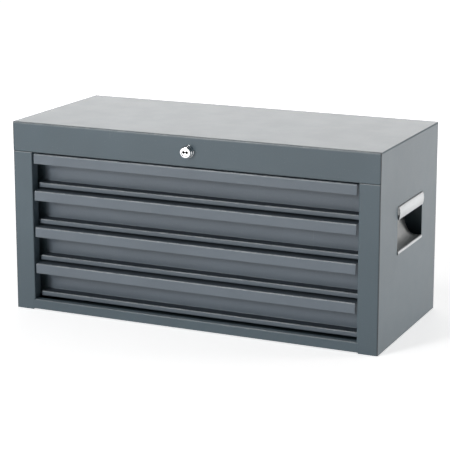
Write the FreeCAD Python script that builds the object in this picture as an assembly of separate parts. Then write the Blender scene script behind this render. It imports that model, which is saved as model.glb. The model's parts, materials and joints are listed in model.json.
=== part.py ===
import FreeCAD, Part
import math
import os

# Four-drawer steel top chest, in millimetres.
# Origin: centre of the base footprint, on its underside. +X is the chest's right as seen from its
# front, +Y runs to its back and +Z is up. The fronts face -Y.

# ---- driving dimensions: cabinet ------------------------------------------------------------------
CABINET_W = 674.0          # over the side panels
CABINET_D = 300.0          # front face of the posts to back face of the back panel
CABINET_H = 335.0
SHEET = 1.0                # side panels, cover and back panel
BEND = 1.0                 # inside radius of an ordinary fold
FLANGE = 12.0              # joining flanges along the edges of the panels
CORNER_RELIEF = 3.0        # notch left where two folds meet at a corner

HEADER_H = 52.0            # front skirt of the cover
HEADER_RETURN = 14.0       # its lower edge, folded back over the first drawer
COVER_BEND = 2.0           # inside radius of the cover's front edge
COVER_INSET = 0.5          # cover and back panel stop this far short of the side faces
SEAM = 0.4                 # gap between panels that meet edge to edge

POST_W = 36.5              # front posts, folded from the side panels
JAMB_D = 19.0              # inner return of a post
BASE_SHEET = 1.2
BASE_SETBACK = 8.0         # front edge of the base, behind the front plane
RAIL_H = 17.5              # front rail under the drawers
RAIL_FLANGE = 12.0
RAIL_LAP = 2.5             # how far the rail's ends reach past the jambs into the posts

UPRIGHT_SHEET = 1.2        # channels that carry the slides
UPRIGHT_W = 30.0
UPRIGHT_FOOT = 10.0
UPRIGHT_SETBACK = 2.0      # from the ends of the slides

# ---- driving dimensions: hand holes -----------------------------------------------------------------
HOLE_FRONT_CLEAR = 4.0     # front end of the hole, behind the front uprights
HOLE_REAR_CLEAR = 20.0     # rear end of the hole, ahead of the rear uprights
HOLE_H = 82.7
HOLE_DROP = 105.5          # top of the hole below the top of the cabinet
HOLE_CORNER = 2.0
GRIP_SHEET = 1.2
GRIP_H = 23.0              # height of the bar's face
GRIP_END_GAP = 2.0         # bar and sill from the ends of the hole
GRIP_PROUD = 1.5           # how far their edges stand out of the panel
GRIP_CROWN = 3.2           # extra bulge of the bar's face before rounding
GRIP_CROWN_SHARE = 0.8     # share of the bar's face that is rounded
GRIP_LEG = 9.0             # finger edge of the bar, folded inwards
SILL_H = 6.4
SILL_LEG = 4.0
GRIP_PLAY = 0.3            # between the bar or sill and the edge of its hole
POCKET_D = 34.0            # depth behind the side face
POCKET_FLOOR = 20.0        # where the floor turns up, behind the side face
POCKET_RISE = 26.0         # height at which the slope meets the back wall
POCKET_SHOULDER = 22.0     # height of the slope at the top of the pocket
POCKET_FLOOR_R = 14.0
POCKET_BACK_R = 20.0

# ---- driving dimensions: drawers --------------------------------------------------------------------
DRAWER_COUNT = 4
DRAWER_GAP = 2.4           # above and below each drawer front
SIDE_GAP = 3.75            # between a front and the posts
FRONT_SHEET = 1.0
PULL_SETBACK = 0.5         # pull strip behind the front plane
PULL_H = 17.6
PULL_BEND = 1.5
PULL_HEM = 8.0             # folded-back lower edge of the pull strip
FACE_SETBACK = 39.0        # recessed face behind the front plane
LEDGE_SETBACK = 18.0       # lip of the ledge behind the front plane
LEDGE_H = 8.9
UNDERLAP = 15.0            # bottom return of the front, under the pan
PAN_SHEET = 0.8
PAN_DROP = 10.0            # rim of the pan below the top of the front
PAN_HEM = 7.0
PAN_WELD = 0.4             # flat left inside a side's fold, where the floor meets it
REAR_ROOM = 31.0           # between the pan and the back panel, for the lock bar
LINER_T = 2.0
LINER_PLAY = 1.0
TRAVEL_RESERVE = 3.0       # part of the pan that stays in the cabinet at full extension

# ---- driving dimensions: ball slides ----------------------------------------------------------------
SLIDE_W = 12.7             # over the three members
SLIDE_H = 45.0
SLIDE_SHEET = 1.2
SLIDE_START = 2.0          # behind the drawer's face
SLIDE_OVERRUN = 12.0       # past the back of the pan
SLIDE_LIP = 1.5            # turned-in edges of the outer member
MEMBER_GAP = 1.6           # between the webs of the outer and middle members
MEMBER_PLAY = 2.0          # between a flange's edge and the next member's web
MIDDLE_SHORTER = 4.0       # middle member than outer member
BALL_D = 3.0
BALL_PLAY = 0.3
BALLS_PER_RACE = 4
CAGE_T = 1.0
CAGE_L = 100.0
CAGE_EDGE = 1.4            # between a cage strip and the members' edges

# ---- driving dimensions: fasteners ------------------------------------------------------------------
RIVET_R = 2.0
RIVET_HEAD_R = 4.0
RIVET_HEAD_T = 1.0
RIVET_TAIL_R = 3.2
RIVET_TAIL_T = 1.2
HOLE_PLAY = 0.1            # radial clearance of shanks and plugs in their holes
RIVET_INSET = 20.0         # first and last fastener from the ends of a row
BACK_RIVETS_PER_SIDE = 4

# ---- driving dimensions: lock -----------------------------------------------------------------------
LOCK_DROP = 25.5           # lock axis below the top
LOCK_HEAD_R = 9.5
LOCK_PROJECTION = 12.0
LOCK_COLLAR_R = 11.0
LOCK_COLLAR_T = 2.0
LOCK_BARREL_R = 9.0
LOCK_BARREL_L = 24.0       # behind the front plane
LOCK_CHAMFER = 1.2
NUT_FLATS = 25.0
NUT_T = 5.0
PLUG_R = 6.5
PLUG_RECESS = 0.6
PLUG_TAIL = 2.6            # round end behind the barrel, with the clip's groove
CLIP_T = 1.0
CLIP_R = 8.5
CLIP_GROOVE = 0.8
CLIP_GAP = 5.0
KEYWAY_REACH = 2.3         # centre of each round end of the keyway from the axis
KEYWAY_R = 1.6
KEYWAY_WAIST = 1.6
KEYWAY_DEPTH = 14.0
TANG = 5.0                 # square tail of the plug
TANG_L = 8.0
TANG_PLAY = 0.05
ROD_R = 4.0
CRANK_THROW = 8.0
CRANK_T = 4.0
CRANK_WALL = 3.0           # of the crank around the rod and the pin
PIN_R = 2.5
PIN_SLOT_PLAY = 0.35       # the pin's path bows away from a straight line by less than this
BAR_T = 2.0
BAR_W = 24.0
BAR_PLAY = 0.3             # between the bar, its guides and the back panel
BAR_EDGE = 4.0             # bar above its pin slot
HOOK_W = 16.0
HOOK_T = 2.0
HOOK_DROP = 8.0            # tip below the arm
HOOK_CLEAR = 4.0           # tip above the catch when unlocked
CATCH_D = 16.0             # rear catch of a pan
CATCH_MARGIN = 8.0         # catch beyond its slot, each side
CATCH_DROP = 5.0           # catch below the rim of the pan
CATCH_PLAY = 2.0           # slot around the hook
CATCH_FLANGE = 10.0        # leg of the catch down the back wall
BRACKET_SHEET = 1.2
BRACKET_SPAN = 60.0
BRACKET_H = 24.0
BRACKET_FOOT = 10.0
CRANK_CLEAR = 2.0          # between the crank and the bracket, and the crank and the bar
GUIDE_H = 14.0

# ---- places worked out from the driving dimensions --------------------------------------------------
half_w = CABINET_W / 2
front = -CABINET_D / 2
back = CABINET_D / 2
side_in = half_w - SHEET
back_in = back - SHEET
jamb_x = half_w - POST_W
header_low = CABINET_H - HEADER_H
post_top = header_low - SEAM
rail_top = BASE_SHEET + RAIL_H
panel_half_w = half_w - COVER_INSET

front_half_w = jamb_x - SIDE_GAP
drawer_pitch = (header_low - rail_top - DRAWER_GAP) / DRAWER_COUNT
drawer_h = drawer_pitch - DRAWER_GAP
pull_y = front + PULL_SETBACK
face_y = front + FACE_SETBACK
lip_y = front + LEDGE_SETBACK
pan_front = face_y + FRONT_SHEET
pan_back = back_in - REAR_ROOM
pan_half_w = front_half_w - SLIDE_W
pan_h = drawer_h - FRONT_SHEET - PAN_DROP
travel = pan_back - pan_front - TRAVEL_RESERVE

slide_front = pan_front + SLIDE_START
slide_back = pan_back + SLIDE_OVERRUN
slide_low = FRONT_SHEET + (pan_h - SLIDE_H) / 2
race = BALL_D + 2 * BALL_PLAY

front_upright_y = slide_front + UPRIGHT_SETBACK
rear_upright_y = slide_back - UPRIGHT_SETBACK - UPRIGHT_W

hole_top = CABINET_H - HOLE_DROP
hole_low = hole_top - HOLE_H
hole_front = front_upright_y + UPRIGHT_W + UPRIGHT_FOOT + HOLE_FRONT_CLEAR
hole_back = rear_upright_y - UPRIGHT_FOOT - HOLE_REAR_CLEAR
grip_front = hole_front + GRIP_END_GAP
grip_back = hole_back - GRIP_END_GAP
sill_top = hole_low + GRIP_PLAY + SILL_H

lock_z = CABINET_H - LOCK_DROP
barrel_back = front + LOCK_BARREL_L
plug_back = barrel_back + PLUG_TAIL
bar_back = back_in - BAR_PLAY
bar_front = bar_back - BAR_T
crank_back = bar_front - CRANK_CLEAR
crank_front = crank_back - CRANK_T
pin_offset = CRANK_THROW * math.sqrt(0.5)
pin_slot_x0 = pin_offset - PIN_R - PIN_SLOT_PLAY
pin_slot_x1 = CRANK_THROW + PIN_R + PIN_SLOT_PLAY
bar_x = (pin_slot_x0 + pin_slot_x1) / 2
hook_y = pan_back + CATCH_D / 2 - HOOK_T / 2
catch_above_pan = pan_h - CATCH_DROP


def drawer_low(number):
    """Underside of a drawer front; drawer 1 is the top one."""
    return rail_top + DRAWER_GAP + (DRAWER_COUNT - number) * drawer_pitch


# ---- shape helpers ----------------------------------------------------------------------------------
def box(x0, x1, y0, y1, z0, z1):
    """A block between two corners."""
    return Part.makeBox(x1 - x0, y1 - y0, z1 - z0, FreeCAD.Vector(x0, y0, z0))


def rod_along(axis, radius, centre, start, end):
    """A round bar along an axis; centre gives its two other coordinates in X, Y, Z order."""
    base, direction = {
        "x": (FreeCAD.Vector(start, centre[0], centre[1]), FreeCAD.Vector(1, 0, 0)),
        "y": (FreeCAD.Vector(centre[0], start, centre[1]), FreeCAD.Vector(0, 1, 0)),
    }[axis]
    return Part.makeCylinder(radius, end - start, base, direction)


def plane_point(plane, point, depth):
    """Place a point of a profile plane, xy, xz or yz, at a depth along the third axis."""
    u, v = point
    places = {"xy": (u, v, depth), "xz": (u, depth, v), "yz": (depth, u, v)}
    return FreeCAD.Vector(*places[plane])


def rounded_outline(points, radii, plane, depth):
    """A closed outline through the points, with an arc of the given radius at each corner."""
    count = len(points)
    corners = []
    for index in range(count):
        corner = plane_point(plane, points[index], depth)
        before = plane_point(plane, points[index - 1], depth) - corner
        after = plane_point(plane, points[(index + 1) % count], depth) - corner
        before.normalize()
        after.normalize()
        opening = before.getAngle(after)
        reach = radii[index] / math.tan(opening / 2)
        middle = before + after
        if radii[index] > 0:
            middle.normalize()
            nearest = radii[index] / math.sin(opening / 2) - radii[index]
            corners.append((corner + before * reach, corner + middle * nearest, corner + after * reach))
        else:
            corners.append((corner, corner, corner))
    edges = []
    for index in range(count):
        start, middle, end = corners[index]
        if radii[index] > 0:
            edges.append(Part.Arc(start, middle, end).toShape())
        following = corners[(index + 1) % count][0]
        if end.distanceToPoint(following) > 1e-6:
            edges.append(Part.LineSegment(end, following).toShape())
    return Part.Face(Part.Wire(edges))


def extruded(points, radii, plane, start, end):
    """A prism of a rounded outline between two depths along the plane's third axis."""
    outline = rounded_outline(points, radii, plane, start)
    return outline.extrude(plane_point(plane, (0, 0), end - start))


def turn_of(before, corner, after):
    """Positive where a path turns to its left at a corner."""
    return ((corner[0] - before[0]) * (after[1] - corner[1])
            - (corner[1] - before[1]) * (after[0] - corner[0]))


def left_of(start, end):
    """Unit vector to the left of the way from start to end."""
    length = math.hypot(end[0] - start[0], end[1] - start[1])
    return ((start[1] - end[1]) / length, (end[0] - start[0]) / length)


def folded(path, thickness, plane, start, end, bends=None):
    """A folded sheet: the path is one of its faces, and a positive thickness lies to the path's left.

    bends holds the inside radius of each fold, in order; without it every fold has the usual one.
    """
    bends = bends or [BEND] * (len(path) - 2)
    other = []
    near_radii = [0]
    far_radii = [0]
    last = len(path) - 1
    for index, point in enumerate(path):
        first_side = left_of(path[max(index - 1, 0)], path[max(index, 1)])
        second_side = left_of(path[min(index, last - 1)], path[min(index + 1, last)])
        spread = 1 + first_side[0] * second_side[0] + first_side[1] * second_side[1]
        shift = thickness / spread
        other.append((point[0] + (first_side[0] + second_side[0]) * shift,
                      point[1] + (first_side[1] + second_side[1]) * shift))
        if 0 < index < last:
            inside = bends[index - 1]
            outside = inside + abs(thickness)
            towards_sheet = turn_of(path[index - 1], point, path[index + 1]) * thickness > 0
            near_radii.append(outside if towards_sheet else inside)
            far_radii.append(inside if towards_sheet else outside)
    near_radii.append(0)
    far_radii.append(0)
    return extruded(path + other[::-1], near_radii + far_radii[::-1], plane, start, end)


def union(shapes):
    """One solid from touching or crossing pieces."""
    return shapes[0].fuse(shapes[1:]).removeSplitter()


def mirrored(shape):
    """The same piece for the other side of the cabinet."""
    return shape.mirror(FreeCAD.Vector(0, 0, 0), FreeCAD.Vector(1, 0, 0))


def both_sides(shape):
    """A piece and its mirror image."""
    return [shape, mirrored(shape)]


def save(node, shapes):
    """Write one node's solid, or its group of separate solids."""
    group = shapes[0] if len(shapes) == 1 else Part.makeCompound(shapes)
    group.exportStep("parts/" + node + ".step")


def rivet(axis, centre, head_face, tail_face):
    """A headed fastener through the sheets between two faces; the head sits outside head_face."""
    away = 1 if head_face > tail_face else -1
    low, high = sorted((head_face, tail_face))
    head_span = sorted((head_face, head_face + away * RIVET_HEAD_T))
    tail_span = sorted((tail_face, tail_face - away * RIVET_TAIL_T))
    shank = rod_along(axis, RIVET_R, centre, low, high)
    head = rod_along(axis, RIVET_HEAD_R, centre, *head_span)
    tail = rod_along(axis, RIVET_TAIL_R, centre, *tail_span)
    outer_rims = [edge for edge in head.Edges
                  if abs(getattr(edge.CenterOfMass, axis) - head_face - away * RIVET_HEAD_T) < 1e-6]
    head = head.makeFillet(RIVET_HEAD_T * 0.8, outer_rims)
    return union([shank, head, tail])


def rivet_hole(axis, centre, start, end):
    """The hole that a fastener's shank passes through."""
    return rod_along(axis, RIVET_R + HOLE_PLAY, centre, start, end)


# ---- fastener places shared by the pieces that they join ----------------------------------------------
def spaced(start, end, count):
    """Evenly spaced places from start to end."""
    return [start + (end - start) * index / (count - 1) for index in range(count)]


side_flange_x = half_w - FLANGE / 2 - SHEET
back_rivet_levels = spaced(BASE_SHEET + FLANGE + RIVET_INSET, CABINET_H - FLANGE - RIVET_INSET,
                           BACK_RIVETS_PER_SIDE)
slide_screw_depths = [front_upright_y + UPRIGHT_W / 2, rear_upright_y + UPRIGHT_W / 2]
pan_rivet_depths = [slide_front + RIVET_INSET, pan_back - RIVET_INSET]


def slide_middle(number):
    """Height of the middle of a drawer's slides."""
    return drawer_low(number) + slide_low + SLIDE_H / 2


# ---- cabinet ------------------------------------------------------------------------------------------
def side_panel():
    """Right side panel, folded in one with its front post, the jamb and the joining flanges."""
    lower_path = [(jamb_x, front + JAMB_D), (jamb_x, front), (half_w, front), (half_w, back_in),
                  (half_w - FLANGE, back_in)]
    upper_path = [(half_w, front + SHEET + SEAM), (half_w, back_in), (half_w - FLANGE, back_in)]
    top_path = [(half_w, post_top - FLANGE), (half_w, CABINET_H - SHEET),
                (half_w - FLANGE, CABINET_H - SHEET)]
    lower = folded(lower_path, SHEET, "xy", 0, post_top)
    upper = folded(upper_path, SHEET, "xy", post_top, CABINET_H - SHEET - CORNER_RELIEF)
    top = folded(top_path, SHEET, "xz", front + SHEET + SEAM, back_in - CORNER_RELIEF)
    panel = union([lower, upper, top])
    hole = extruded([(hole_front, hole_low), (hole_back, hole_low),
                     (hole_back, hole_top), (hole_front, hole_top)],
                    [HOLE_CORNER] * 4, "yz", side_in - SHEET, half_w + SHEET)
    rail_notch = box(jamb_x - SHEET, jamb_x + RAIL_LAP, front - SHEET, front + JAMB_D + SHEET,
                     -SHEET, rail_top + SEAM)
    bend_y = front + SHEET + COVER_BEND
    bend_z = CABINET_H - SHEET - COVER_BEND
    corner = box(half_w - 2 * FLANGE, half_w + SHEET, front, bend_y, bend_z, CABINET_H)
    rounding = rod_along("x", COVER_BEND - SEAM, (bend_y, bend_z), half_w - 2 * FLANGE, half_w + SHEET)
    cuts = [hole, rail_notch, corner.cut(rounding)]
    for level in back_rivet_levels:
        cuts.append(rivet_hole("y", (side_flange_x, level), back_in - 2 * SHEET, back))
    return panel.cut(cuts)


def top_cover():
    """Top face and front header in one sheet, with the hole for the lock."""
    path = [(back, CABINET_H), (front, CABINET_H), (front, header_low),
            (front + HEADER_RETURN, header_low)]
    cover = folded(path, SHEET, "yz", -panel_half_w, panel_half_w, [COVER_BEND, BEND])
    cuts = [rod_along("y", LOCK_BARREL_R + HOLE_PLAY, (0, lock_z), front - SHEET, front + 2 * SHEET)]
    for end in both_sides(box(side_in - SEAM, half_w, front + SHEET, back, header_low - SHEET,
                              header_low + FLANGE)):
        cuts.append(end)
    return cover.cut(cuts)


def back_panel():
    """Flat back with a flange under the cover."""
    path = [(back, 0), (back, CABINET_H - SHEET), (back - FLANGE, CABINET_H - SHEET)]
    panel = folded(path, SHEET, "yz", -panel_half_w, panel_half_w)
    cuts = both_sides(box(side_in - FLANGE, half_w, back - 2 * FLANGE, back_in,
                          CABINET_H - 2 * FLANGE, CABINET_H))
    for level in back_rivet_levels:
        cuts += both_sides(rivet_hole("y", (side_flange_x, level), back_in - SHEET, back + SHEET))
    return panel.cut(cuts)


def base_panel():
    """Floor sheet with upturned sides and back, and a tongue under the front rail."""
    tray_path = [(-side_in, FLANGE), (-side_in, 0), (side_in, 0), (side_in, FLANGE)]
    tray = folded(tray_path, BASE_SHEET, "xz", front + JAMB_D + SEAM, back_in - FLANGE / 2)
    rear_path = [(back_in - FLANGE, 0), (back_in, 0), (back_in, FLANGE)]
    rear_half = side_in - FLANGE - CORNER_RELIEF
    rear = folded(rear_path, BASE_SHEET, "yz", -rear_half, rear_half)
    tongue_half = jamb_x - SEAM
    tongue = box(-tongue_half, tongue_half, front + BASE_SETBACK, front + JAMB_D + FLANGE,
                 0, BASE_SHEET)
    return union([tray, rear, tongue])


def bottom_rail():
    """Channel between the posts, under the lowest drawer, standing on the base sheet."""
    path = [(front + RAIL_FLANGE + BASE_SETBACK, BASE_SHEET), (front, BASE_SHEET),
            (front, rail_top), (front + RAIL_FLANGE, rail_top)]
    half = jamb_x + RAIL_LAP - SEAM / 2
    return folded(path, -SHEET, "yz", -half, half)


def upright(start):
    """Hat channel on the right side panel; the slides are screwed to its web."""
    end = start + UPRIGHT_W
    foot_x = side_in - UPRIGHT_SHEET
    path = [(foot_x, start - UPRIGHT_FOOT), (foot_x, start), (front_half_w, start),
            (front_half_w, end), (foot_x, end), (foot_x, end + UPRIGHT_FOOT)]
    channel = folded(path, -UPRIGHT_SHEET, "xy", FLANGE + CORNER_RELIEF, header_low)
    cuts = [rivet_hole("x", (start + UPRIGHT_W / 2, slide_middle(number)),
                       front_half_w - SHEET, front_half_w + 2 * UPRIGHT_SHEET)
            for number in range(1, DRAWER_COUNT + 1)]
    return channel.cut(cuts)


# ---- hand holes ---------------------------------------------------------------------------------------
def grip_bar():
    """Rounded bright bar across the top of the right hand hole, hooked behind the panel."""
    top = hole_top - GRIP_PLAY
    low = top - GRIP_H
    edge_x = half_w + GRIP_PROUD
    path = [(half_w - GRIP_LEG, low), (edge_x, low), (edge_x + GRIP_CROWN, (low + top) / 2),
            (edge_x, top), (side_in, top), (side_in, top + FLANGE)]
    slope = math.hypot(GRIP_CROWN, GRIP_H / 2)
    crown_r = GRIP_CROWN_SHARE * slope * GRIP_H / 2 / GRIP_CROWN - GRIP_SHEET
    bends = [BEND, crown_r, BEND, GRIP_PLAY]
    return folded(path, GRIP_SHEET, "xz", grip_front, grip_back, bends)


def grip_sill():
    """Narrow bright strip along the bottom of the right hand hole."""
    low = hole_low + GRIP_PLAY
    edge_x = half_w + GRIP_PROUD
    path = [(side_in, low - FLANGE), (side_in, low), (edge_x, low), (edge_x, sill_top),
            (half_w - SILL_LEG, sill_top)]
    return folded(path, GRIP_SHEET, "xz", grip_front, grip_back, [GRIP_PLAY, BEND, BEND])


def grip_pocket():
    """Curved scoop behind the right hand hole, open at both ends."""
    flange_x = side_in - GRIP_SHEET
    floor_z = sill_top - GRIP_SHEET
    ceiling_z = hole_top + GRIP_SHEET
    back_x = half_w - POCKET_D
    path = [(flange_x, floor_z - FLANGE), (flange_x, floor_z), (half_w - POCKET_FLOOR, floor_z),
            (back_x, floor_z + POCKET_RISE), (back_x, ceiling_z - POCKET_SHOULDER),
            (half_w - POCKET_FLOOR, ceiling_z), (flange_x, ceiling_z), (flange_x, ceiling_z + FLANGE)]
    bends = [BEND, POCKET_FLOOR_R, POCKET_BACK_R, POCKET_BACK_R, POCKET_FLOOR_R, BEND]
    return folded(path, SHEET, "xz", hole_front, hole_back, bends)


# ---- drawers ------------------------------------------------------------------------------------------
def drawer_front(number):
    """Front in one folded sheet: hemmed pull strip, top, recessed face, ledge, lip and bottom return."""
    low = drawer_low(number)
    high = low + drawer_h
    path = [(pull_y, high - PULL_H), (pull_y, high), (pan_front, high),
            (pan_front, low + LEDGE_H - FRONT_SHEET), (lip_y + FRONT_SHEET, low + LEDGE_H - FRONT_SHEET),
            (lip_y + FRONT_SHEET, low + FRONT_SHEET), (pan_front + UNDERLAP, low + FRONT_SHEET)]
    sheet = folded(path, -FRONT_SHEET, "yz", -front_half_w, front_half_w,
                   [PULL_BEND, BEND, BEND, BEND, BEND])
    hem = box(-front_half_w, front_half_w, pull_y, pull_y + 2 * FRONT_SHEET, high - PULL_H,
              high - PULL_H + PULL_HEM)
    return union([sheet, hem])


def drawer_pan(number):
    """Open tray of strips welded edge to edge: floor, two hemmed sides, two end walls, and the catch."""
    floor_z = drawer_low(number) + FRONT_SHEET
    rim = floor_z + pan_h
    inner = pan_half_w - PAN_SHEET
    weld_x = inner - BEND - PAN_WELD
    floor = box(-weld_x, weld_x, pan_front, pan_back, floor_z, floor_z + PAN_SHEET)
    side = folded([(weld_x, floor_z), (pan_half_w, floor_z), (pan_half_w, rim)], PAN_SHEET, "xz",
                  pan_front, pan_back)
    hem = box(inner - PAN_SHEET, inner, pan_front + PAN_SHEET, pan_back - PAN_SHEET, rim - PAN_HEM, rim)
    cuts = [rivet_hole("x", (depth, slide_middle(number)), inner - 2 * PAN_SHEET,
                       pan_half_w + PAN_SHEET) for depth in pan_rivet_depths]
    wall_low = floor_z + PAN_SHEET
    wall = [(-inner, wall_low), (inner, wall_low), (inner, rim), (-inner, rim)]
    ends = [extruded(wall, [BEND, BEND, 0, 0], "xz", wall_y, wall_y + PAN_SHEET)
            for wall_y in (pan_front, pan_back - PAN_SHEET)]
    sides = both_sides(union([side, hem]).cut(cuts))
    return [floor] + sides + ends + [drawer_catch(floor_z + catch_above_pan)]


def drawer_catch(level):
    """Angle on the back wall of a pan, with the slot that the lock bar's hook drops into."""
    path = [(pan_back, level - CATCH_FLANGE), (pan_back, level), (pan_back + CATCH_D, level)]
    slot_half = HOOK_W / 2 + CATCH_PLAY
    half = slot_half + CATCH_MARGIN
    angle = folded(path, -PAN_SHEET, "yz", bar_x - half, bar_x + half)
    slot = box(bar_x - slot_half, bar_x + slot_half, hook_y - CATCH_PLAY, hook_y + HOOK_T + CATCH_PLAY,
               level - 2 * PAN_SHEET, level + PAN_SHEET)
    return angle.cut(slot)


def drawer_liner(number):
    """Loose mat on the floor of the pan."""
    floor_z = drawer_low(number) + FRONT_SHEET + PAN_SHEET
    half = pan_half_w - PAN_SHEET - LINER_PLAY
    return box(-half, half, pan_front + PAN_SHEET + LINER_PLAY, pan_back - PAN_SHEET - LINER_PLAY,
               floor_z, floor_z + LINER_T)


# ---- ball slides --------------------------------------------------------------------------------------
def slide_section(level):
    """Low and high edge of a member: 0 is the outer, 1 the middle and 2 the inner member."""
    step = level * (SLIDE_SHEET + race)
    return step, SLIDE_H - step


def slide_outer(number):
    """Right outer member, a lipped channel on the uprights."""
    base = drawer_low(number) + slide_low
    low, high = (base + edge for edge in slide_section(0))
    lip_x = pan_half_w + SLIDE_SHEET + BALL_PLAY
    path = [(lip_x, low + SLIDE_SHEET + SLIDE_LIP), (lip_x, low), (front_half_w, low),
            (front_half_w, high), (lip_x, high), (lip_x, high - SLIDE_SHEET - SLIDE_LIP)]
    bends = [SLIDE_SHEET / 4, BEND, BEND, SLIDE_SHEET / 4]
    member = folded(path, SLIDE_SHEET, "xz", slide_front, slide_back, bends)
    cuts = [rivet_hole("x", (depth, slide_middle(number)), front_half_w - 2 * SLIDE_SHEET,
                       front_half_w + SLIDE_SHEET) for depth in slide_screw_depths]
    return member.cut(cuts)


def slide_middle_member(number):
    """Right middle member, running in the outer one."""
    base = drawer_low(number) + slide_low
    low, high = (base + edge for edge in slide_section(1))
    web_x = front_half_w - SLIDE_SHEET - MEMBER_GAP
    edge_x = pan_half_w + MEMBER_PLAY
    path = [(edge_x, low), (web_x, low), (web_x, high), (edge_x, high)]
    return folded(path, SLIDE_SHEET, "xz", slide_front, slide_back - MIDDLE_SHORTER)


def slide_inner(number):
    """Right inner member, riveted to the side of the pan."""
    base = drawer_low(number) + slide_low
    low, high = (base + edge for edge in slide_section(2))
    edge_x = front_half_w - 2 * SLIDE_SHEET - MEMBER_GAP - MEMBER_PLAY
    path = [(edge_x, low), (pan_half_w, low), (pan_half_w, high), (edge_x, high)]
    member = folded(path, -SLIDE_SHEET, "xz", slide_front, pan_back)
    cuts = [rivet_hole("x", (depth, slide_middle(number)), pan_half_w - SLIDE_SHEET,
                       pan_half_w + 2 * SLIDE_SHEET) for depth in pan_rivet_depths]
    return member.cut(cuts)


def ball_cages(number, level, x0, x1, centre_y):
    """Two right cage strips with their balls, outside a member of the slide: 1 middle, 2 inner."""
    base = drawer_low(number) + slide_low
    low, high = (base + edge for edge in slide_section(level))
    centre_x = (x0 + x1) / 2
    pieces = []
    for centre_z in (low - race / 2, high + race / 2):
        strip = box(x0, x1, centre_y - CAGE_L / 2, centre_y + CAGE_L / 2,
                    centre_z - CAGE_T / 2, centre_z + CAGE_T / 2)
        seats = []
        balls = []
        half_row = CAGE_L / 2 - 2 * BALL_D
        for ball_y in spaced(centre_y - half_row, centre_y + half_row, BALLS_PER_RACE):
            seats.append(Part.makeCylinder(BALL_D / 2 + HOLE_PLAY, 2 * CAGE_T,
                                           FreeCAD.Vector(centre_x, ball_y, centre_z - CAGE_T)))
            balls.append(Part.makeSphere(BALL_D / 2, FreeCAD.Vector(centre_x, ball_y, centre_z)))
        pieces += [strip.cut(seats)] + balls
    return pieces


def outer_cages(number):
    """Cages between the outer and middle members; they travel a quarter as far as the drawer."""
    x0 = pan_half_w + 2 * SLIDE_SHEET + BALL_PLAY + CAGE_EDGE / 2
    x1 = front_half_w - SLIDE_SHEET - MEMBER_GAP - CAGE_EDGE
    shared_back = slide_back - MIDDLE_SHORTER - travel / 2
    return ball_cages(number, 1, x0, x1, (slide_front + shared_back) / 2 + travel / 4)


def inner_cages(number):
    """Cages between the middle and inner members; they travel three quarters as far as the drawer."""
    x0 = pan_half_w + MEMBER_PLAY + CAGE_EDGE / 2
    x1 = front_half_w - 2 * SLIDE_SHEET - MEMBER_GAP - MEMBER_PLAY - CAGE_EDGE / 2
    shared_front = slide_front - travel / 2
    shared_back = pan_back - travel
    return ball_cages(number, 2, x0, x1, (shared_front + shared_back) / 2 + travel * 3 / 4)


# ---- lock ---------------------------------------------------------------------------------------------
def lock_housing():
    """Bright cylinder with a collar on the header and a threaded barrel through it."""
    head = rod_along("y", LOCK_HEAD_R, (0, lock_z), front - LOCK_PROJECTION, front)
    rims = [edge for edge in head.Edges if abs(edge.CenterOfMass.y - front + LOCK_PROJECTION) < 1e-6]
    head = head.makeChamfer(LOCK_CHAMFER, rims)
    collar = rod_along("y", LOCK_COLLAR_R, (0, lock_z), front - LOCK_COLLAR_T, front)
    barrel = rod_along("y", LOCK_BARREL_R, (0, lock_z), front, barrel_back)
    bore = rod_along("y", PLUG_R + HOLE_PLAY, (0, lock_z), front - LOCK_PROJECTION - SHEET,
                     barrel_back + SHEET)
    return union([head, collar, barrel]).cut(bore)


def lock_nut():
    """Hexagon nut that clamps the header against the collar."""
    corner_r = NUT_FLATS / math.sqrt(3)
    points = [(corner_r * math.cos(math.radians(60 * index)),
               lock_z + corner_r * math.sin(math.radians(60 * index))) for index in range(6)]
    nut = extruded(points, [0] * 6, "xz", front + SHEET, front + SHEET + NUT_T)
    return nut.cut(rod_along("y", LOCK_BARREL_R + HOLE_PLAY, (0, lock_z), front, front + 2 * NUT_T))


def lock_plug():
    """Turning plug with the keyway in front, the clip's groove and a square tang behind."""
    face_of_plug = front - LOCK_PROJECTION + PLUG_RECESS
    plug = rod_along("y", PLUG_R, (0, lock_z), face_of_plug, plug_back)
    tang = box(-TANG / 2, TANG / 2, plug_back, plug_back + TANG_L, lock_z - TANG / 2,
               lock_z + TANG / 2)
    keyway_back = face_of_plug + KEYWAY_DEPTH
    cuts = [box(-KEYWAY_REACH, KEYWAY_REACH, face_of_plug - SHEET, keyway_back,
                lock_z - KEYWAY_WAIST / 2, lock_z + KEYWAY_WAIST / 2)]
    for side in (-KEYWAY_REACH, KEYWAY_REACH):
        cuts.append(rod_along("y", KEYWAY_R, (side, lock_z), face_of_plug - SHEET, keyway_back))
    groove = rod_along("y", PLUG_R + SHEET, (0, lock_z), *clip_span())
    cuts.append(groove.cut(rod_along("y", PLUG_R - CLIP_GROOVE, (0, lock_z), *clip_span())))
    return union([plug, tang]).cut(cuts)


def clip_span():
    """Front and back of the retaining clip."""
    start = barrel_back + HOLE_PLAY
    return start, start + CLIP_T


def lock_clip():
    """Open spring ring in the plug's groove, behind the barrel."""
    start, end = clip_span()
    ring = rod_along("y", CLIP_R, (0, lock_z), start, end)
    hollow = rod_along("y", PLUG_R - CLIP_GROOVE + TANG_PLAY, (0, lock_z), start, end)
    gap = box(-CLIP_GAP / 2, CLIP_GAP / 2, start, end, lock_z - 2 * CLIP_R, lock_z)
    return ring.cut([hollow, gap])


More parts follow.
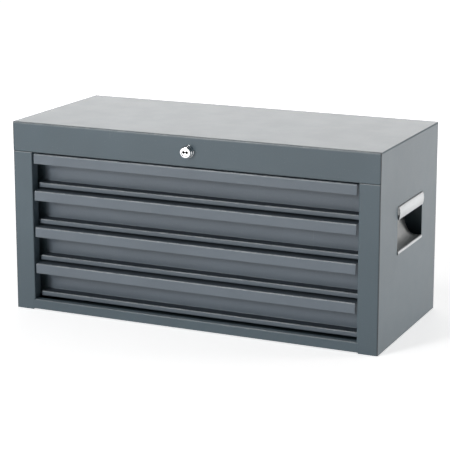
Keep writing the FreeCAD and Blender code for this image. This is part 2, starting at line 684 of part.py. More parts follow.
def lock_rod():
    """Long rod on the plug's tang, with a crank and pin at its back end."""
    start = plug_back + TANG_PLAY
    rod = rod_along("y", ROD_R, (0, lock_z), start, crank_front)
    hub_r = ROD_R + CRANK_WALL
    eye_r = PIN_R + CRANK_WALL
    pin_z = lock_z + pin_offset
    hub = rod_along("y", hub_r, (0, lock_z), crank_front, crank_back)
    eye = rod_along("y", eye_r, (pin_offset, pin_z), crank_front, crank_back)
    pin = rod_along("y", PIN_R, (pin_offset, pin_z), crank_back, back_in - BAR_PLAY)
    socket_half = TANG / 2 + TANG_PLAY
    socket = box(-socket_half, socket_half, start - SHEET, plug_back + TANG_L + BAR_PLAY,
                 lock_z - socket_half, lock_z + socket_half)
    return union([rod, hub, eye, pin]).cut(socket)


def lock_bar():
    """Vertical bar that slides on the back panel, with a hook over each drawer's catch."""
    slot_half = PIN_R + PIN_SLOT_PLAY
    slot_z = lock_z + pin_offset
    lowest = drawer_low(DRAWER_COUNT) + FRONT_SHEET + catch_above_pan
    pieces = [box(bar_x - BAR_W / 2, bar_x + BAR_W / 2, bar_front, bar_back, lowest - HOOK_DROP,
                  slot_z + slot_half + BAR_EDGE)]
    for number in range(1, DRAWER_COUNT + 1):
        tip_z = drawer_low(number) + FRONT_SHEET + catch_above_pan + HOOK_CLEAR
        arm_z = tip_z + HOOK_DROP
        pieces.append(box(bar_x - HOOK_W / 2, bar_x + HOOK_W / 2, hook_y, bar_back, arm_z,
                          arm_z + HOOK_T))
        pieces.append(box(bar_x - HOOK_W / 2, bar_x + HOOK_W / 2, hook_y, hook_y + HOOK_T, tip_z,
                          arm_z + HOOK_T))
    slot = box(pin_slot_x0, pin_slot_x1, bar_front - SHEET, bar_back + SHEET, slot_z - slot_half,
               slot_z + slot_half)
    return union(pieces).cut(slot)


def hat_on_back(centre_x, span, web_y, low, high):
    """A strap standing off the back panel: two feet, two legs and a web."""
    foot_y = back_in - BRACKET_SHEET
    path = [(centre_x - span / 2 - BRACKET_FOOT, foot_y), (centre_x - span / 2, foot_y),
            (centre_x - span / 2, web_y), (centre_x + span / 2, web_y),
            (centre_x + span / 2, foot_y), (centre_x + span / 2 + BRACKET_FOOT, foot_y)]
    return folded(path, BRACKET_SHEET, "xy", low, high, [BEND, BEND / 2, BEND / 2, BEND])


def lock_rod_bracket():
    """Bearing strap for the back end of the lock rod."""
    web_y = crank_front - CRANK_CLEAR - BRACKET_SHEET
    strap = hat_on_back(0, BRACKET_SPAN, web_y, lock_z - BRACKET_H / 2, lock_z + BRACKET_H / 2)
    return strap.cut(rod_along("y", ROD_R + HOLE_PLAY, (0, lock_z), web_y - SHEET, crank_front))


def lock_bar_guides():
    """Two straps that hold the bar against the back panel."""
    span = BAR_W + 2 * (BAR_PLAY + BRACKET_SHEET)
    web_y = bar_front - BAR_PLAY - BRACKET_SHEET
    guides = []
    for number in (1, DRAWER_COUNT):
        low = drawer_low(number) + FRONT_SHEET + catch_above_pan - 2 * HOOK_DROP - GUIDE_H
        if number == DRAWER_COUNT:
            low += drawer_pitch
        guides.append(hat_on_back(bar_x, span, web_y, low, low + GUIDE_H))
    return guides


# ---- fasteners ----------------------------------------------------------------------------------------
def slide_screws():
    """Low-headed screws that hold the outer slide members to the uprights."""
    screws = []
    for number in range(1, DRAWER_COUNT + 1):
        for depth in slide_screw_depths:
            screws += both_sides(rivet("x", (depth, slide_middle(number)), front_half_w - SLIDE_SHEET,
                                       front_half_w + UPRIGHT_SHEET))
    return screws


def back_rivets():
    """Blind rivets through the back panel and the rear flanges of the side panels."""
    rivets = []
    for level in back_rivet_levels:
        rivets += both_sides(rivet("y", (side_flange_x, level), back, back_in - SHEET))
    return rivets


def pan_rivets(number):
    """Rivets through the inner slide members and the sides of a pan."""
    rivets = []
    for depth in pan_rivet_depths:
        rivets += both_sides(rivet("x", (depth, slide_middle(number)), pan_half_w + SLIDE_SHEET,
                                   pan_half_w - PAN_SHEET))
    return rivets


def save_pair(name, shape):
    """Write a right-hand piece and its left-hand twin as two nodes."""
    save(name + "_right", [shape])
    save(name + "_left", [mirrored(shape)])


def save_slide_group(name, pieces):
    """Write the right and left pieces of a drawer's slides as one node."""
    save(name, pieces + [mirrored(piece) for piece in pieces])


os.makedirs("parts", exist_ok=True)
save_pair("side_panel", side_panel())
save("top_cover", [top_cover()])
save("back_panel", [back_panel()])
save("base_panel", [base_panel()])
save("bottom_rail", [bottom_rail()])
uprights = [upright(front_upright_y), upright(rear_upright_y)]
save("uprights_right", uprights)
save("uprights_left", [mirrored(channel) for channel in uprights])
save_pair("grip_bar", grip_bar())
save_pair("grip_sill", grip_sill())
save_pair("grip_pocket", grip_pocket())
save("slide_screws", slide_screws())
save("back_rivets", back_rivets())
save("lock_housing", [lock_housing()])
save("lock_nut", [lock_nut()])
save("lock_plug", [lock_plug()])
save("lock_clip", [lock_clip()])
save("lock_rod", [lock_rod()])
save("lock_bar", [lock_bar()])
save("lock_rod_bracket", [lock_rod_bracket()])
save("lock_bar_guides", lock_bar_guides())
for drawer in range(1, DRAWER_COUNT + 1):
    prefix = "drawer_" + str(drawer) + "_"
    save(prefix + "front", [drawer_front(drawer)])
    save(prefix + "pan", drawer_pan(drawer))
    save(prefix + "liner", [drawer_liner(drawer)])
    save(prefix + "rivets", pan_rivets(drawer))
    save_slide_group(prefix + "slide_inner", [slide_inner(drawer)])
    save_slide_group(prefix + "slide_middle", [slide_middle_member(drawer)])
    save_slide_group(prefix + "slide_outer", [slide_outer(drawer)])
    save_slide_group(prefix + "cages_outer", outer_cages(drawer))
    save_slide_group(prefix + "cages_inner", inner_cages(drawer))
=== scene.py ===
import json
import math

import bmesh
import bpy
import numpy as np
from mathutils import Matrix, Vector


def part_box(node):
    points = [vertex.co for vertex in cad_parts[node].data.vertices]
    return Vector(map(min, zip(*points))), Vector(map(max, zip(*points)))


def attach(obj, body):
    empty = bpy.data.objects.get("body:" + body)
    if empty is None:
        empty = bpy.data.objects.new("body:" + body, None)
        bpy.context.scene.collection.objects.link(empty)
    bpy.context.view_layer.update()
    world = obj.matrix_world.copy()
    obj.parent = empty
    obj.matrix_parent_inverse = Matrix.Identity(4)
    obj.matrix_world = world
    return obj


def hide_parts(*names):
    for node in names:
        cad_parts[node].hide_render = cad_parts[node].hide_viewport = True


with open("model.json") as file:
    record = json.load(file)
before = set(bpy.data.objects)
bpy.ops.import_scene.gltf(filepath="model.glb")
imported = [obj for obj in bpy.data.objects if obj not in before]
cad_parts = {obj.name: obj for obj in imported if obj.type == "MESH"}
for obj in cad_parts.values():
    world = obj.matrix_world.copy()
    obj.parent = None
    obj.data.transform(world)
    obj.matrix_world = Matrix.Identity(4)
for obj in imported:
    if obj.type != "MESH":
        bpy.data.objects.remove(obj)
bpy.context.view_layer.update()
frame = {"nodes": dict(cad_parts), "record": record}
nodes = frame["nodes"]

# ---- places read from the frame, in metres ----------------------------------------------------------
cover_low, cover_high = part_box("top_cover")
head_low, head_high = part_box("lock_housing")
plug_low, plug_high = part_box("lock_plug")
front_low, front_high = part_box("drawer_4_front")    # the lowest drawer
DRAWERS = (1, 2, 3, 4)
FRONT_Y = cover_low.y
TOP_Z = cover_high.z
SIDE_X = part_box("side_panel_right")[1].x
POST_TOP = cover_low.z - 0.0004    # top edges of the front posts, under the header
RAIL_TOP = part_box("bottom_rail")[1].z
LOCK_Z = (head_low.z + head_high.z) / 2
OPENING_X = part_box("drawer_1_front")[1].x
PULL_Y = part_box("drawer_1_front")[0].y
LIP_Y = FRONT_Y + 0.018            # front of a drawer's lower lip
DRAWER_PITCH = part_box("drawer_3_front")[0].z - front_low.z
PULL_TOP = (front_high.z - front_low.z) / DRAWER_PITCH    # this and the next as shares of the pitch
LIP_TOP = 0.0089 / DRAWER_PITCH


# ---- finishes -----------------------------------------------------------------------------------------
def add_node(tree, kind, inputs=None, **settings):
    """A shader node with its plain settings and inputs; a socket among the inputs is linked."""
    node = tree.nodes.new(kind)
    for key, value in settings.items():
        setattr(node, key, value)
    for key, value in (inputs or {}).items():
        if isinstance(value, bpy.types.NodeSocket):
            tree.links.new(value, node.inputs[key])
        else:
            node.inputs[key].default_value = value
    return node


def smooth_range(tree, value, low, high, out_low=0.0, out_high=1.0):
    """A value carried from one range to another with a smooth step."""
    limits = {"Value": value, "From Min": low, "From Max": high, "To Min": out_low, "To Max": out_high}
    return add_node(tree, "ShaderNodeMapRange", limits, interpolation_type="SMOOTHSTEP").outputs["Result"]


def colour(red, green, blue):
    """A linear colour with full alpha."""
    return (red, green, blue, 1.0)


def shade(base, factor):
    """A colour made darker or lighter by a factor."""
    return colour(*(factor * value for value in base))


class Finish:
    """A Principled material with short ways to add the nodes that vary it over the surface."""

    def __init__(self, name, constants):
        self.material = bpy.data.materials.new(name)
        self.material.use_nodes = True
        self.tree = self.material.node_tree
        self.shader = self.tree.nodes["Principled BSDF"]
        for socket, value in constants.items():
            self.shader.inputs[socket].default_value = value
        self.place = self.add("ShaderNodeTexCoord").outputs["Object"]

    def add(self, kind, inputs=None, **settings):
        """A node in this material."""
        return add_node(self.tree, kind, inputs, **settings)

    def set(self, socket, value):
        """Feed an input of the Principled shader."""
        self.tree.links.new(value, self.shader.inputs[socket])

    def noise(self, scale, detail=2.0, roughness=0.5, stretch=(1, 1, 1)):
        """Fractal noise over Object coordinates, which may be stretched along an axis."""
        place = self.add("ShaderNodeMapping", {"Vector": self.place, "Scale": stretch}).outputs[0]
        return self.add("ShaderNodeTexNoise", {"Vector": place, "Scale": scale, "Detail": detail,
                                               "Roughness": roughness}).outputs["Fac"]

    def spread(self, value, low, high, out_low=0.0, out_high=1.0):
        """A value carried from one range to another with a smooth step."""
        return smooth_range(self.tree, value, low, high, out_low, out_high)

    def math(self, operation, first, second=0.0):
        """One arithmetic step on values."""
        return self.add("ShaderNodeMath", {0: first, 1: second}, operation=operation).outputs[0]

    def product(self, first, *others):
        """All the values multiplied."""
        for other in others:
            first = self.math("MULTIPLY", first, other)
        return first

    def blend(self, share, first, second):
        """A colour between two colours or colour sockets."""
        return self.add("ShaderNodeMix", {0: share, 6: first, 7: second}, data_type="RGBA").outputs[2]

    def along(self, axis):
        """One of the Object coordinates."""
        return self.add("ShaderNodeSeparateXYZ", {0: self.place}).outputs[axis]

    def close(self, value, at, width):
        """1 where a value equals at, fading to 0 at width from it."""
        gap = self.math("ABSOLUTE", self.math("SUBTRACT", value, at))
        return self.spread(gap, 0.0, width, 1.0, 0.0)

    def near(self, axis, at, width):
        """1 on the plane where the coordinate equals at, fading to 0 at width from it."""
        return self.close(self.along(axis), at, width)

    def bump(self, height, strength, depth):
        """Relief from a height value, in metres of depth."""
        self.set("Normal", self.add("ShaderNodeBump", {"Height": height, "Strength": strength,
                                                       "Distance": depth}).outputs[0])


PAINTED_FOLD_HIGHLIGHT = colour(0.46, 0.50, 0.52)          # painted highlight on a fold of the cabinet
PAINTED_PULL_FOLD_HIGHLIGHT = colour(0.60, 0.64, 0.66)     # painted highlight on the drawers' folds
# painted highlight on the top front bend
PAINTED_TOP_HIGHLIGHT = colour(0.42, 0.44, 0.45)
SCUFF = colour(0.36, 0.38, 0.39)
SPECK = colour(0.32, 0.34, 0.35)
BEND_SHADE = colour(0.018, 0.025, 0.030)
PAINTED_LEDGE_SHADE = colour(0.034, 0.045, 0.058)   # painted shade on narrow upward ledges
PAINTED_GAP_SHADOW = colour(0.006, 0.008, 0.010)    # darker painted shadow between two drawers
# painted light: the pull strips made paler
PAINTED_PULL_LIGHT = colour(0.50, 0.55, 0.60)
FRONT_REACH = 0.003                        # how far each mark reaches from its edge
TOP_REACH = 0.0045
POST_REACH = 0.0016
RAIL_REACH = 0.0018
FOLD_REACH = 0.0026
PULL_REACH = 0.004


def orange_peel(coat):
    """The fine waviness of a sprayed and baked coat."""
    coat.bump(coat.noise(520.0, detail=1.0), strength=0.25, depth=0.00006)


def powder_coat(name, base):
    """Start of a powder coat, as the finish and its colour: orange-peel relief, faint mottling, upright
    scuffs in patches, and fine specks."""
    coat = Finish(name, {"IOR": 1.6})
    tone = coat.blend(coat.spread(coat.noise(5.0), 0.35, 0.65), shade(base, 0.94), shade(base, 1.06))
    lines = coat.noise(160.0, detail=3.0, roughness=0.55, stretch=(1.0, 1.0, 0.07))
    scuffs = coat.spread(lines, 0.66, 0.74)
    patches = coat.spread(coat.noise(9.0), 0.5, 0.62, out_high=0.16)
    tone = coat.blend(coat.product(scuffs, patches), tone, SCUFF)
    specks = coat.spread(coat.noise(420.0), 0.6, 0.75)
    tone = coat.blend(coat.product(specks, 0.12), tone, SPECK)
    orange_peel(coat)
    return coat, tone


def satin(coat, gloss):
    """Roughness of a powder coat, with small cloudy changes."""
    cloud = coat.noise(26.0, detail=4.0, roughness=0.6)
    return coat.spread(cloud, 0.3, 0.7, gloss - 0.01, gloss + 0.015)


def body_coat(name, base, gloss):
    """Powder coat of the cabinet, with painted highlights along the top front edge, the tops of the posts
    and the top of the rail, and a painted shade line down each upright bend at the front."""
    coat, tone = powder_coat(name, base)
    front = coat.near("Y", FRONT_Y, FRONT_REACH)
    flank = coat.math("MAXIMUM", coat.near("X", SIDE_X, FRONT_REACH), coat.near("X", -SIDE_X, FRONT_REACH))
    patches = coat.spread(coat.noise(55.0, detail=4.0, roughness=0.7), 0.42, 0.6, 0.5, 0.8)
    # painted highlight along the top front bend, in patches
    top_edge = coat.product(coat.near("Z", TOP_Z, TOP_REACH), coat.near("Y", FRONT_Y, TOP_REACH), patches)
    tone = coat.blend(top_edge, tone, PAINTED_TOP_HIGHLIGHT)
    # painted highlight along the tops of the posts, under the header
    tone = coat.blend(coat.product(coat.near("Z", POST_TOP, POST_REACH), front, 0.9), tone, PAINTED_FOLD_HIGHLIGHT)
    tone = coat.blend(coat.product(front, flank), tone, BEND_SHADE)
    aside = coat.math("ABSOLUTE", coat.along("X"))
    between_posts = coat.spread(aside, OPENING_X, OPENING_X + 0.004, 0.65, 0.0)
    # painted highlight along the top of the rail, between the posts
    sill = coat.product(coat.near("Z", RAIL_TOP, RAIL_REACH), front, between_posts)
    tone = coat.blend(sill, tone, PAINTED_FOLD_HIGHLIGHT)
    coat.set("Base Color", tone)
    coat.set("Roughness", satin(coat, gloss))
    return coat.material


def drawer_coat(name, base, gloss):
    """Powder coat of the drawers: painted shade on narrow upward ledges, darkest between two drawers,
    painted highlight lines along the folds, and pull strips painted paler as painted light."""
    coat, tone = powder_coat(name, base)
    facing = coat.add("ShaderNodeNewGeometry").outputs["Normal"]
    upward = coat.add("ShaderNodeSeparateXYZ", {0: facing}).outputs["Z"]
    height = coat.math("DIVIDE", coat.math("SUBTRACT", coat.along("Z"), front_low.z), DRAWER_PITCH)
    level = coat.math("FRACT", height)
    # painted shade on upward ledges, darkest as painted shadow between two drawers
    ledge_shade_mask = coat.product(coat.spread(upward, 0.6, 0.95), coat.spread(level, 0.5, 0.7, 0.78, 0.65))
    deep = coat.product(coat.spread(coat.along("Y"), LIP_Y - 0.010, LIP_Y - 0.002),
                        coat.spread(level, 0.5, 0.7))
    tone = coat.blend(ledge_shade_mask, tone, coat.blend(deep, PAINTED_LEDGE_SHADE, PAINTED_GAP_SHADOW))
    # painted highlight lines along the top folds of the pull strip and of the lip
    for fold_y, fold_level, share in ((PULL_Y, PULL_TOP, 1.0), (LIP_Y, LIP_TOP, 0.75)):
        patches = coat.noise(40.0, detail=4.0, roughness=0.7)
        fold = coat.product(coat.near("Y", fold_y, FOLD_REACH),
                            coat.close(level, fold_level, FOLD_REACH / DRAWER_PITCH),
                            coat.spread(patches, 0.38, 0.6, 0.45 * share, share))
        tone = coat.blend(fold, tone, PAINTED_PULL_FOLD_HIGHLIGHT)
    # painted light: the front of each pull strip made paler, in patches
    pull_light_mask = coat.product(coat.near("Y", PULL_Y, PULL_REACH),
                           coat.spread(coat.noise(14.0, detail=3.0), 0.3, 0.7, 0.05, 0.09))
    coat.set("Base Color", coat.blend(pull_light_mask, tone, PAINTED_PULL_LIGHT))
    coat.set("Roughness", coat.math("MAXIMUM", satin(coat, gloss), coat.product(ledge_shade_mask, 0.8)))
    coat.set("Specular IOR Level", coat.spread(ledge_shade_mask, 0.0, 1.0, 0.5, 0.2))
    return coat.material


def plated(name, base, roughness, grain, stretch=(1.0, 1.0, 1.0)):
    """Bright metal: fine drawn lines along one axis, cloudy tone and small changes of gloss."""
    metal = Finish(name, {"Metallic": 1.0})
    lines = metal.noise(grain, detail=3.0, roughness=0.6, stretch=stretch)
    cloud = metal.spread(metal.noise(14.0, detail=3.0), 0.3, 0.7)
    metal.set("Base Color", metal.blend(cloud, shade(base, 0.86), colour(*base)))
    metal.set("Roughness", metal.spread(lines, 0.25, 0.75, roughness - 0.05, roughness + 0.08))
    metal.bump(lines, strength=0.12, depth=0.0002)
    return metal.material


def foam_mat(name):
    """Dark foam rubber with a closed-cell grain."""
    mat = Finish(name, {"IOR": 1.45, "Specular IOR Level": 0.3})
    cells = mat.add("ShaderNodeTexVoronoi", {"Vector": mat.place, "Scale": 900.0}).outputs["Distance"]
    cloud = mat.spread(mat.noise(30.0, detail=4.0), 0.3, 0.7)
    mat.set("Base Color", mat.blend(cloud, colour(0.022, 0.023, 0.025), colour(0.04, 0.042, 0.046)))
    mat.set("Roughness", mat.spread(cells, 0.1, 0.6, 0.7, 0.9))
    mat.bump(cells, strength=0.3, depth=0.0004)
    return mat.material


def keyed_chrome(name, base, roughness, face_y):
    """Polished metal, painted dark and dull inside the keyway behind the plug's face as painted shade."""
    metal = Finish(name, {"Metallic": 1.0})
    inside = metal.spread(metal.along("Y"), face_y + 0.0002, face_y + 0.0011)
    cloud = metal.spread(metal.noise(60.0, detail=3.0), 0.3, 0.7)
    bright = metal.blend(cloud, shade(base, 0.8), colour(*base))
    metal.set("Base Color", metal.blend(inside, bright, colour(0.010, 0.010, 0.011)))
    metal.set("Roughness", metal.spread(inside, 0.0, 1.0, roughness, 0.7))
    metal.bump(metal.noise(700.0), strength=0.1, depth=0.0001)
    return metal.material


def thin_coat(name, base):
    """Thin overspray on zinced sheet: paler than the outside, and cloudy."""
    coat = Finish(name, {"Metallic": 0.15, "IOR": 1.5})
    cloud = coat.spread(coat.noise(22.0, detail=4.0, roughness=0.6), 0.3, 0.7)
    coat.set("Base Color", coat.blend(cloud, shade(base, 0.86), colour(*base)))
    coat.set("Roughness", coat.spread(coat.noise(90.0, detail=3.0), 0.3, 0.7, 0.36, 0.46))
    orange_peel(coat)
    return coat.material


POLISHED = (0.84, 0.85, 0.86)
lock_chrome = plated("polished_chrome", POLISHED, 0.12, 500.0)
keyed_plug = keyed_chrome("keyed_chrome", POLISHED, 0.14, plug_low.y)
zinc_steel = plated("zinc_plate", (0.50, 0.52, 0.54), 0.36, 800.0, (1.0, 0.05, 1.0))
liner_rubber = foam_mat("liner_rubber")
pocket_coat = thin_coat("pocket_overspray", (0.56, 0.585, 0.59))

FINISHES = {
    "body_paint": body_coat("slate_powder_coat", (0.095, 0.138, 0.166), 0.34),
    "drawer_paint": drawer_coat("slate_powder_coat_drawers", (0.150, 0.187, 0.225), 0.36),
    "bright_grip": plated("satin_grip_metal", (0.52, 0.54, 0.55), 0.46, 900.0, (1.0, 0.04, 1.0)),
    "lock_chrome": lock_chrome,
    "zinc_steel": zinc_steel,
    "ball_steel": plated("ball_steel", (0.68, 0.69, 0.70), 0.16, 400.0),
    "liner": liner_rubber,
}

for part in frame["record"]["subparts"]:
    for slot in nodes[part["node"]].material_slots:
        slot.material = FINISHES[part["material_slot"]]
for side in ("left", "right"):
    for slot in nodes["grip_pocket_" + side].material_slots:
        slot.material = pocket_coat


# ---- pieces worked out as surfaces --------------------------------------------------------------------
CREASE = 32.0           # degrees; sharper edges stay crisp


def surfaced(name, groups, finish, looped=False):
    """One mesh from closed surfaces, each given as rings of points that close on themselves.

    Ring k joins ring k + 1 point by point; the last ring joins the first where looped, and otherwise a
    face caps the first and the last ring.
    """
    points, faces, start = [], [], 0
    for rings in groups:
        count, size = rings.shape[:2]
        index = start + np.arange(count * size).reshape(count, size)
        near = index if looped else index[:-1]
        far = np.roll(index, -1, axis=0) if looped else index[1:]
        quads = np.stack([near, np.roll(near, -1, axis=1), np.roll(far, -1, axis=1), far], axis=-1)
        faces += quads.reshape(-1, 4).tolist()
        if not looped:
            faces += [index[0][::-1].tolist(), index[-1].tolist()]
        points.append(rings.reshape(-1, 3))
        start += count * size
    mesh = bpy.data.meshes.new(name)
    mesh.from_pydata(np.concatenate(points).tolist(), [], faces)
    shell = bmesh.new()
    shell.from_mesh(mesh)
    bmesh.ops.recalc_face_normals(shell, faces=shell.faces)
    shell.to_mesh(mesh)
    shell.free()
    mesh.polygons.foreach_set("use_smooth", np.ones(len(mesh.polygons), dtype=bool))
    mesh.set_sharp_from_angle(angle=math.radians(CREASE))
    mesh.materials.append(finish)
    piece = bpy.data.objects.new(name, mesh)
    bpy.context.scene.collection.objects.link(piece)
    return piece


def turned(profile, centre, axis, steps):
    """Rings of a turned shape: centre + s * axis + r * (u cos t + v sin t) for each (r, s) of the profile
    and t evenly round the circle, where u and v are square to the axis."""
    along = Vector(axis).normalized()
    across = along.orthogonal().normalized()
    third = along.cross(across)
    angle = np.linspace(0.0, 2.0 * math.pi, steps, endpoint=False)
    circle = np.cos(angle)[:, None] * np.array(across) + np.sin(angle)[:, None] * np.array(third)
    shape = np.asarray(profile, dtype=float)
    return np.array(centre) + shape[:, 1, None, None] * np.array(along) + shape[:, 0, None, None] * circle


def rounded(radius, start, edge, turn):
    """Profile points round an outer edge: (radius - edge + edge cos t, start + edge sin t)."""
    return [(radius - edge + edge * math.cos(t), start + edge * math.sin(t)) for t in turn]


def settle(piece, body, node):
    """Put a piece on its body in place of a CAD node, and hide the node."""
    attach(piece, body)
    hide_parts(node)


def lock_head():
    """Turned lock cylinder, from a profile of (radius, distance in front of the header) that closes on
    itself: threaded barrel behind, rounded collar that tapers to a ring, groove, bright front ring, and
    the bore for the plug."""
    projection = FRONT_Y - head_low.y
    reach = head_high.y - FRONT_Y
    bore = (plug_high.x - plug_low.x) / 2 + 0.0001
    collar = (head_high.x - head_low.x) / 2
    ring = collar - 0.0015
    barrel = collar - 0.002
    half_pitch, thread_depth = 0.0005, 0.0005
    threads = np.arange(0.0008, reach - 0.001, half_pitch)
    crests = np.where(np.arange(len(threads)) % 2 == 0, barrel, barrel - thread_depth)
    turn = np.radians(np.linspace(0.0, 90.0, 7))
    collar_edge, ring_edge = 0.0011, 0.0012
    outside = [(bore, -reach), (barrel - 0.0006, -reach)]
    outside += [(r, -s) for r, s in zip(crests[::-1], threads[::-1])]
    outside += [(barrel, 0.0), (collar - 0.0002, 0.0), (collar, 0.0002)]
    outside += rounded(collar, 0.0007, collar_edge, turn[:5])
    outside += [(ring + 0.0003, 0.0046), (ring, 0.0056)]
    outside += [(ring - depth, s) for depth, s in ((0.0003, 0.0059), (0.0009, 0.0062), (0.0009, 0.0070),
                                                   (0.0003, 0.0073), (0.0, 0.0076))]
    outside += rounded(ring, projection - ring_edge, ring_edge, turn)
    outside += [(bore + 0.0005, projection), (bore, projection - 0.0004)]
    rings = turned(outside, (0.0, FRONT_Y, LOCK_Z), (0, -1, 0), steps=72)
    return surfaced("lock_head", [rings], lock_chrome, looped=True)


def keyway_outline(angle):
    """Radius of the keyway at an angle: two round ends joined by a waist, whichever reaches further.

    A round end of radius a at distance c is at c |cos t| + sqrt(a^2 - c^2 sin^2 t) where that exists,
    and the waist of half height h is at h / |sin t|, up to the centres of the round ends.
    """
    reach, end, waist = 0.0029, 0.0023, 0.0004
    inner = end ** 2 - (reach * np.sin(angle)) ** 2
    bulb = np.where(inner > 0, reach * np.abs(np.cos(angle)) + np.sqrt(np.clip(inner, 0, None)), 0.0)
    slit = np.minimum(waist / np.maximum(np.abs(np.sin(angle)), 1e-6), reach)
    return np.maximum(bulb, slit)


def lock_face():
    """Turning plug, from rings of (radius at each angle, distance behind the face) of one closed surface:
    up the keyway's walls, over the face, round the rim, back along the plug to the clip's groove and down
    to the square tang."""
    radius = (plug_high.x - plug_low.x) / 2
    length = plug_high.y - plug_low.y
    tang_half, tang = 0.0025, 0.008
    back = length - tang
    clip_front, clip_back = back - 0.0025, back - 0.0015
    groove = radius - 0.0008
    keyway_depth, chamfer = 0.014, 0.0004
    angle = np.linspace(0.0, 2.0 * math.pi, 96, endpoint=False)
    key = keyway_outline(angle)
    square = tang_half / np.maximum(np.abs(np.cos(angle)), np.abs(np.sin(angle)))
    rings = [(key, keyway_depth), (key, chamfer), (key + chamfer / 2, 0.0), (radius - chamfer, 0.0),
             (radius, chamfer), (radius, clip_front), (groove, clip_front), (groove, clip_back),
             (radius, clip_back), (radius, back), (square, back), (square, length)]
    radii = np.array([np.broadcast_to(ring, angle.shape) for ring, depth in rings])
    depths = np.array([np.full(angle.shape, depth) for ring, depth in rings])
    points = np.stack([radii * np.cos(angle), plug_low.y + depths, LOCK_Z + radii * np.sin(angle)], axis=-1)
    return surfaced("lock_face", [points], keyed_plug)


rivets_low, rivets_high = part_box("back_rivets")
RIVET_HEAD = 0.004      # radius
RIVET_RISE = 0.001      # height of the dome above the sheet
RIVET_TAIL = 0.0012     # length of the rolled tail behind the sheets


def rivet_profile(grip):
    """Blind rivet as (radius, height): pit of the broken stem, dome, shank through the sheets and rolled
    tail. The dome is at (rim + (head - rim) sin t, rise cos t) and the tail at (shank + swell sin 2t,
    -grip - tail sin^2 t)."""
    shank, swell, rim, core = 0.002, 0.0012, 0.0014, 0.001
    turn = np.radians(np.linspace(0.0, 90.0, 8))
    profile = [(0.0006, RIVET_RISE - 0.0007), (0.0010, RIVET_RISE - 0.0006), (0.0012, RIVET_RISE)]
    profile += [(rim + (RIVET_HEAD - rim) * math.sin(t), RIVET_RISE * math.cos(t)) for t in turn]
    profile += [(shank, 0.0), (shank, -grip)]
    profile += [(shank + swell * math.sin(2 * t), -grip - RIVET_TAIL * math.sin(t) ** 2)
                for t in turn[1:-1]]
    return profile + [(core, -grip - RIVET_TAIL)]


def back_rivet_heads():
    """Eight blind rivets, four up each side of the back panel: one turned profile at each place."""
    profile = rivet_profile(rivets_high.y - rivets_low.y - RIVET_RISE - RIVET_TAIL)
    levels = np.linspace(rivets_low.z + RIVET_HEAD, rivets_high.z - RIVET_HEAD, 4)
    places = [(side * (rivets_high.x - RIVET_HEAD), rivets_high.y - RIVET_RISE, level)
              for side in (-1, 1) for level in levels]
    rivets = [turned(profile, place, (0, 1, 0), steps=28) for place in places]
    return surfaced("back_rivet_heads", rivets, zinc_steel)


def ribbed_mat(number):
    """Drawer mat: straight ribs from front to back, z = top - depth * (1 - cos(2 pi x / pitch)) / 2, on a
    flat underside, with its front and back ends drawn down to half its thickness."""
    low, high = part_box("drawer_%d_liner" % number)
    pitch, depth, end = 0.0052, 0.0009, 0.0006
    x = np.linspace(low.x, high.x, int((high.x - low.x) / pitch) * 8)
    top = high.z - depth * (1.0 - np.cos(2.0 * math.pi * (x - low.x) / pitch)) / 2.0
    outline_x = np.concatenate([x, [x[-1], x[0]]])
    outline_z = np.concatenate([top, [low.z, low.z]])
    y = np.array([low.y, low.y + end, high.y - end, high.y])
    thickness = np.array([0.5, 1.0, 1.0, 0.5])
    rings = np.empty((len(y), len(outline_x), 3))
    rings[..., 0] = outline_x
    rings[..., 1] = y[:, None]
    rings[..., 2] = low.z + (outline_z - low.z) * thickness[:, None]
    return surfaced("drawer_%d_ribbed_mat" % number, [rings], liner_rubber)


settle(lock_head(), "cabinet", "lock_housing")
settle(lock_face(), "lock_core", "lock_plug")
settle(back_rivet_heads(), "cabinet", "back_rivets")
for number in DRAWERS:
    drawer = "drawer_%d" % number
    settle(ribbed_mat(number), drawer, drawer + "_liner")

# ---- floor, light and camera --------------------------------------------------------------------------
CAMERA_PLACE = (1.17006, -2.58515, 0.85476)
CAMERA_YAW = 0.42528
CAMERA_PITCH = 0.21640
CAMERA_LENS = 133.2                    # in millimetres, on a sensor 36 wide
CAMERA_SHIFT = -0.1
FLOOR_HALF = 9.0
FLOOR_Z = -0.0004
FLOOR_LIFT = (0.4, 1.8, 0.63, 0.93)    # distances over which the floor's own white grows, and its levels
DIM_SIDE = (0.15, -1.0, 0.3)           # direction of the room's dim side
SKY_FALL = (-0.35, 0.3, 0.33, 0.03)    # from and to along that direction, and the light at each
WHITE = colour(1.0, 1.0, 1.0)


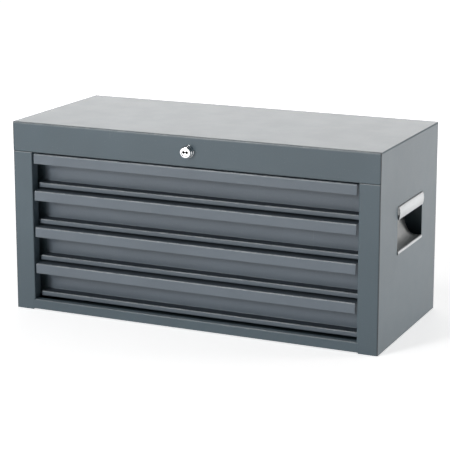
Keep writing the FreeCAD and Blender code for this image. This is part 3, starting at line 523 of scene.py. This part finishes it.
def floor():
    """A pale floor: a flat grid of points under the chest. What the camera and bright metal see of it
    is lifted towards white with distance from the chest."""
    steps = np.linspace(-FLOOR_HALF, FLOOR_HALF, 3)
    x, y = np.meshgrid(steps, steps, indexing="ij")
    points = np.stack([x, y, np.full_like(x, FLOOR_Z)], axis=-1).reshape(-1, 3)
    first = (np.arange(2)[:, None] * 3 + np.arange(2)).ravel()
    faces = np.stack([first, first + 3, first + 4, first + 1], axis=1)
    mesh = bpy.data.meshes.new("studio_floor")
    mesh.from_pydata(points.tolist(), [], faces.tolist())
    ground = bpy.data.objects.new("studio_floor", mesh)
    bpy.context.scene.collection.objects.link(ground)
    material = bpy.data.materials.new("studio_floor")
    material.use_nodes = True
    tree = material.node_tree
    tree.nodes.clear()
    ray = add_node(tree, "ShaderNodeLightPath").outputs
    shown = add_node(tree, "ShaderNodeMath", {0: ray["Is Camera Ray"], 1: ray["Is Glossy Ray"]},
                     operation="MAXIMUM").outputs[0]
    tone = add_node(tree, "ShaderNodeMix", {0: shown, 6: colour(0.85, 0.85, 0.85),
                                            7: colour(0.95, 0.95, 0.95)}, data_type="RGBA").outputs[2]
    place = add_node(tree, "ShaderNodeTexCoord").outputs["Object"]
    distance = add_node(tree, "ShaderNodeVectorMath", {0: place}, operation="LENGTH").outputs["Value"]
    lift = add_node(tree, "ShaderNodeMath", {0: shown, 1: smooth_range(tree, distance, *FLOOR_LIFT)},
                    operation="MULTIPLY").outputs[0]
    diffuse = add_node(tree, "ShaderNodeBsdfDiffuse", {"Color": tone}).outputs[0]
    glow = add_node(tree, "ShaderNodeEmission", {"Strength": lift}).outputs[0]
    both = add_node(tree, "ShaderNodeAddShader", {0: diffuse, 1: glow}).outputs[0]
    add_node(tree, "ShaderNodeOutputMaterial", {"Surface": both})
    mesh.materials.append(material)


def sky():
    """White for the camera; for everything else soft light, full from above and behind the chest."""
    world = bpy.data.worlds.new("studio")
    bpy.context.scene.world = world
    world.use_nodes = True
    tree = world.node_tree
    tree.nodes.clear()
    place = add_node(tree, "ShaderNodeTexCoord").outputs["Generated"]
    facing = add_node(tree, "ShaderNodeVectorMath", {0: place, 1: Vector(DIM_SIDE).normalized()},
                      operation="DOT_PRODUCT").outputs["Value"]
    level = smooth_range(tree, facing, *SKY_FALL)
    soft = add_node(tree, "ShaderNodeBackground", {"Color": WHITE, "Strength": level}).outputs[0]
    white = add_node(tree, "ShaderNodeBackground", {"Color": WHITE, "Strength": 1.0}).outputs[0]
    seen = add_node(tree, "ShaderNodeLightPath").outputs["Is Camera Ray"]
    both = add_node(tree, "ShaderNodeMixShader", {0: seen, 1: soft, 2: white}).outputs[0]
    add_node(tree, "ShaderNodeOutputWorld", {"Surface": both})


def stand(name, data, place, forward):
    """A lamp or camera at a place, looking forward."""
    holder = bpy.data.objects.new(name, data)
    bpy.context.scene.collection.objects.link(holder)
    holder.location = place
    holder.rotation_mode = "QUATERNION"
    holder.rotation_quaternion = forward.to_track_quat("-Z", "Y")
    return holder


def lamp(name, place, target, size, power, tint=(1.0, 1.0, 1.0)):
    """A square soft lamp aimed at a point."""
    light = bpy.data.lights.new(name, "AREA")
    light.color = tint
    light.size = size
    light.energy = power
    stand(name, light, place, Vector(target) - Vector(place))


def camera():
    """The viewing camera, from its yaw and pitch: forward is -sin yaw, cos yaw, -sin pitch, the first two
    times cos pitch."""
    data = bpy.data.cameras.new("view")
    data.sensor_width = 36.0
    data.lens = CAMERA_LENS
    data.shift_y = CAMERA_SHIFT
    data.clip_end = 100.0
    forward = Vector((-math.sin(CAMERA_YAW) * math.cos(CAMERA_PITCH),
                      math.cos(CAMERA_YAW) * math.cos(CAMERA_PITCH), -math.sin(CAMERA_PITCH)))
    bpy.context.scene.camera = stand("view", data, CAMERA_PLACE, forward)


floor()
sky()
lamp("key_lamp", (-1.05, -2.6, 1.12), (0, 0, 0.15), size=0.6, power=29.5)
lamp("front_lamp", (0.1, -3.0, 0.45), (0, 0, 0.14), size=0.6, power=5.0)
lamp("top_lamp", (-0.35, -0.9, 2.3), (0, -0.1, 0.3), size=0.7, power=7.5)
lamp("back_lamp", (-1.6, 3.6, 1.3), (0, 0, 0.33), size=2.6, power=41.0)
lamp("side_lamp", (2.9, 1.3, 0.5), (0.3, 0, 0.15), size=1.0, power=42.5, tint=(1.0, 0.955, 0.935))
camera()
bpy.context.scene.view_settings.view_transform = "Standard"
